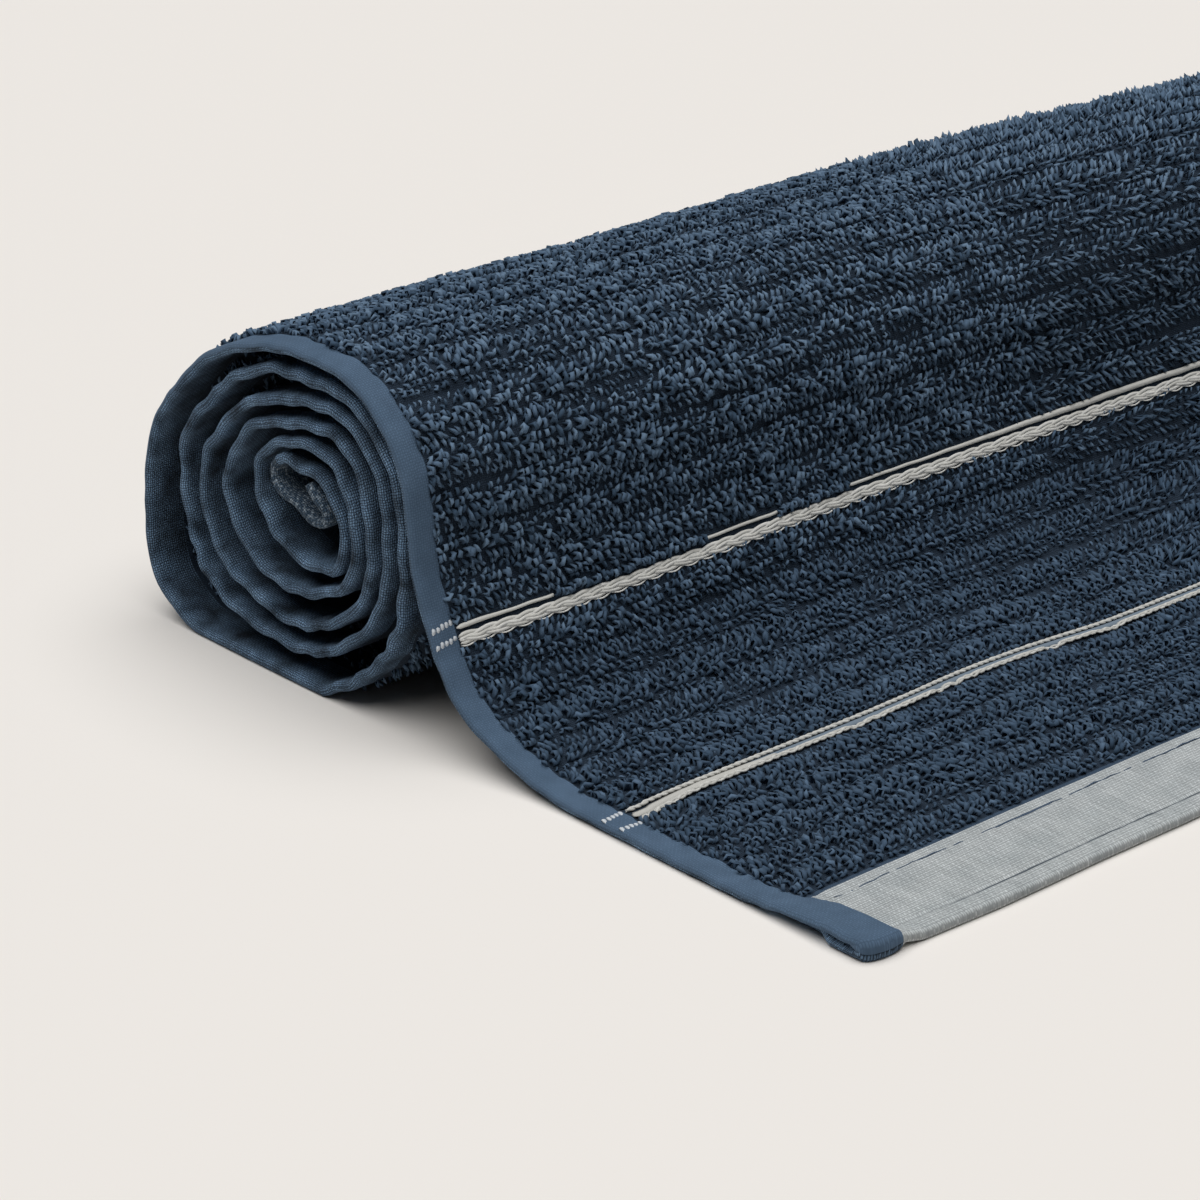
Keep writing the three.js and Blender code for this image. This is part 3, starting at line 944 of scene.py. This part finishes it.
def woven_material(
    name, colours, pitch, bump, shades, blotch=0.12, patch=0.22, mottle=7.0, flecks=(0.3, 0.7),
    streak=0.0, painted_depth_shade=0.0,
):
    """Plain weave in millimetres of the cloth: threads cross over and under in both directions, in
    the first shade between them and the second one on them. The two colours mix in mottles, blotches
    are soft and dark, streaks run along the cloth, and the last argument is painted shade that darkens
    it away from its side edge, with a little painted light right at the edge."""
    material = plain_material(name, colours[0], 0.9, 0.05, (0.75, 0.85, 1.0))
    shader = material.node_tree.nodes["Principled BSDF"]
    wiring = Wiring(material.node_tree, "Weave")
    parts = wiring.add("ShaderNodeSeparateXYZ")
    wiring.put(wiring.place, parts.inputs[0])
    s, y = parts.outputs[0], parts.outputs[1]

    wander = wiring.remap(wiring.noise(0.9, 1.0), 0.2, 0.8, -0.16, 0.16)
    waves = []
    for along, step in zip((s, y), pitch):
        turns = wiring.calc("MULTIPLY", wiring.calc("ADD", along, wander), math.pi / step)
        waves.append(wiring.calc("SINE", turns))
    weave = wiring.calc("MULTIPLY", *waves)
    over = wiring.calc("ADD", wiring.calc("MULTIPLY", weave, 0.3), wiring.calc("ABSOLUTE", weave))

    tone = wiring.mix(wiring.remap(wiring.noise(1.0 / mottle, 4.0), *flecks, 0.0, 1.0), *colours)
    shade = wiring.remap(over, 0.0, 0.75, *shades)
    blotches = wiring.remap(wiring.noise(patch, 3.0), 0.3, 0.7, 1.0 - blotch, 1.0 + 0.4 * blotch)
    shade = wiring.calc("MULTIPLY", shade, blotches)
    # Painted shade: darker away from the side edge, deep in the roll's turns, and painted light a little
    # lighter right at the edge
    if painted_depth_shade:
        inwards = wiring.calc("MINIMUM", y, wiring.calc("SUBTRACT", WIDTH, y))
        shade = wiring.calc("MULTIPLY", shade, wiring.remap(inwards, 0.5, 8.0, 1.12, 1.0 - painted_depth_shade))
    if streak:
        stretched = wiring.add("ShaderNodeCombineXYZ")
        wiring.put(wiring.calc("MULTIPLY", s, 0.12), stretched.inputs[0])
        wiring.put(wiring.calc("MULTIPLY", y, 1.0 / streak), stretched.inputs[1])
        streaks = wiring.remap(wiring.noise(1.0, 2.0, stretched.outputs[0]), 0.3, 0.7, 0.84, 1.08)
        shade = wiring.calc("MULTIPLY", shade, streaks)
    wiring.put(wiring.mix(1.0, tone, shade, "MULTIPLY"), shader.inputs["Base Color"])

    bumps = wiring.fill(wiring.add("ShaderNodeBump"), Strength=0.7, Distance=bump * MM, Height=over)
    wiring.put(bumps.outputs["Normal"], shader.inputs["Normal"])
    return material


def add_materials(piece, materials):
    for material in materials:
        piece.data.materials.append(material)


# The cloth, with its materials in the order of their numbers
cloth = build_cloth()
add_materials(cloth, [
    woven_material(
        "side_hem", ((0.080, 0.130, 0.200), (0.096, 0.152, 0.232)),
        pitch=(0.5, 0.5), bump=0.06, shades=(0.72, 1.08),
    ),
    woven_material(
        "end_hem", ((0.46, 0.495, 0.505), (0.58, 0.61, 0.615)),
        pitch=(0.8, 0.55), bump=0.14, shades=(0.56, 1.10), blotch=0.06, streak=0.75,
    ),
    woven_material(
        "blue_strip", ((0.044, 0.072, 0.116), (0.056, 0.090, 0.140)),
        pitch=(0.5, 0.5), bump=0.06, shades=(0.7, 1.05),
    ),
    # The ground's colour is its own navy, made far darker than the loops as painted shade between the
    # loops
    woven_material(
        "ground", ((0.020, 0.034, 0.056), (0.030, 0.049, 0.078)),
        pitch=(0.42, 0.42), bump=0.15, shades=(0.4, 1.1),
    ),
    # The inside of the side hem takes painted shade away from its side edge
    woven_material(
        "hem_inside", ((0.102, 0.168, 0.258), (0.148, 0.232, 0.342)),
        pitch=(0.52, 0.50), bump=0.30, shades=(0.10, 1.55), blotch=0.85, patch=0.14, painted_depth_shade=0.5,
    ),
    woven_material(
        "core_band", ((0.050, 0.085, 0.130), (0.33, 0.40, 0.47)),
        pitch=(0.5, 0.5), bump=0.26, shades=(0.25, 1.25), blotch=0.3, mottle=0.8, flecks=(0.47, 0.68),
    ),
])
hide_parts("towel")

# The pile, with its tones in the order of their numbers
PILE_SHEEN_TINT = (0.6, 0.8, 1.0)
PILE_TONES = [
    plain_material("pile_mid", (0.096, 0.152, 0.230), 0.95, 0.06, PILE_SHEEN_TINT),
    plain_material("pile_deep", (0.047, 0.080, 0.127), 0.95, 0.04, PILE_SHEEN_TINT),
    plain_material("pile_light", (0.136, 0.207, 0.300), 0.95, 0.08, PILE_SHEEN_TINT),
    # The fourth tone is a darker copy of the mid one: painted shade on the lying end
    plain_material("pile_painted_shade", (0.062, 0.101, 0.157), 0.95, 0.05, PILE_SHEEN_TINT),
]
pile = build_pile() + build_inner_pile()
for piece in pile:
    add_materials(piece, PILE_TONES)

# The stripes and stitches, with their yarns in the order of their numbers
YARNS = [
    plain_material("yarn_white", (0.60, 0.595, 0.565), 0.9),
    plain_material("yarn_cream", (0.50, 0.495, 0.465), 0.9),
    plain_material("yarn_mark", (0.60, 0.64, 0.68), 0.8),
    plain_material("yarn_grey", (0.11, 0.13, 0.15), 0.8),
    plain_material("yarn_navy", (0.07, 0.10, 0.15), 0.8),
    # The braid's two yarns are lighter copies of the white and cream ones: partly their thicker yarn,
    # partly painted light on the steep rise where the braid lies
    plain_material("braid_white_painted_light", (0.78, 0.775, 0.74), 0.9),
    plain_material("braid_cream_painted_light", (0.70, 0.695, 0.655), 0.9),
    plain_material("yarn_blue_grey", (0.17, 0.215, 0.265), 0.9),
]
trims = [build_braid_stripe(), build_double_stripe(), build_hem_marks(), build_band_stitches()]
for piece, name in zip(trims, ("stripe_white", "stripe_white", "side_hem_blue", "end_hem_grey")):
    add_materials(piece, YARNS)

# The floor, whose half width is in metres
FLOOR_HALF = 6
FLOOR_COLOUR = (0.84, 0.805, 0.765)
floor_corners = [(-1, -1, 0), (1, -1, 0), (1, 1, 0), (-1, 1, 0)]
floor = make_mesh("floor", FLOOR_HALF * np.array(floor_corners), np.array([[0, 1, 2, 3]]))
add_materials(floor, [plain_material("floor_paper", FLOOR_COLOUR, 0.95)])

# Light from all round, and soft light from a wide round patch of sky overhead
SKY_COLOUR = (1.0, 0.99, 0.975)
SKY_STRENGTH = 0.045
PATCH_TOWARDS = (-0.02, 0.10, -0.99)
PATCH_SPREAD = math.radians(78)
PATCH_POWER = 3.03


def link_facing(name, data, direction):
    """An object that looks along a direction, as a lamp or a camera does."""
    item = bpy.data.objects.new(name, data)
    item.rotation_mode = "QUATERNION"
    item.rotation_quaternion = Vector(direction).to_track_quat("-Z", "Y")
    bpy.context.scene.collection.objects.link(item)
    return item


bpy.context.scene.view_settings.view_transform = "Standard"
world = bpy.data.worlds.new("studio")
bpy.context.scene.world = world
world.use_nodes = True
background = world.node_tree.nodes["Background"]
background.inputs["Color"].default_value = (*SKY_COLOUR, 1)
background.inputs["Strength"].default_value = SKY_STRENGTH
sky_patch = bpy.data.lights.new("sky_patch", "SUN")
sky_patch.angle = PATCH_SPREAD
sky_patch.energy = PATCH_POWER
link_facing("sky_patch", sky_patch, PATCH_TOWARDS)

# The camera, at the photograph's viewing angle
CAMERA_PLACE = (415.45, -395.32, 293.10)
CAMERA_AZIMUTH = math.radians(48.0)
CAMERA_ELEVATION = math.radians(22.7)
CAMERA_LENS = 109.7
camera_data = bpy.data.cameras.new("camera")
camera_data.sensor_width = 36.0
camera_data.lens = CAMERA_LENS
camera_data.clip_start = 0.01
camera = link_facing("camera", camera_data, (
    -math.sin(CAMERA_AZIMUTH) * math.cos(CAMERA_ELEVATION),
    math.cos(CAMERA_AZIMUTH) * math.cos(CAMERA_ELEVATION),
    -math.sin(CAMERA_ELEVATION),
))
camera.location = Vector(row_frame(np.array(CAMERA_PLACE)).tolist())
bpy.context.scene.camera = camera
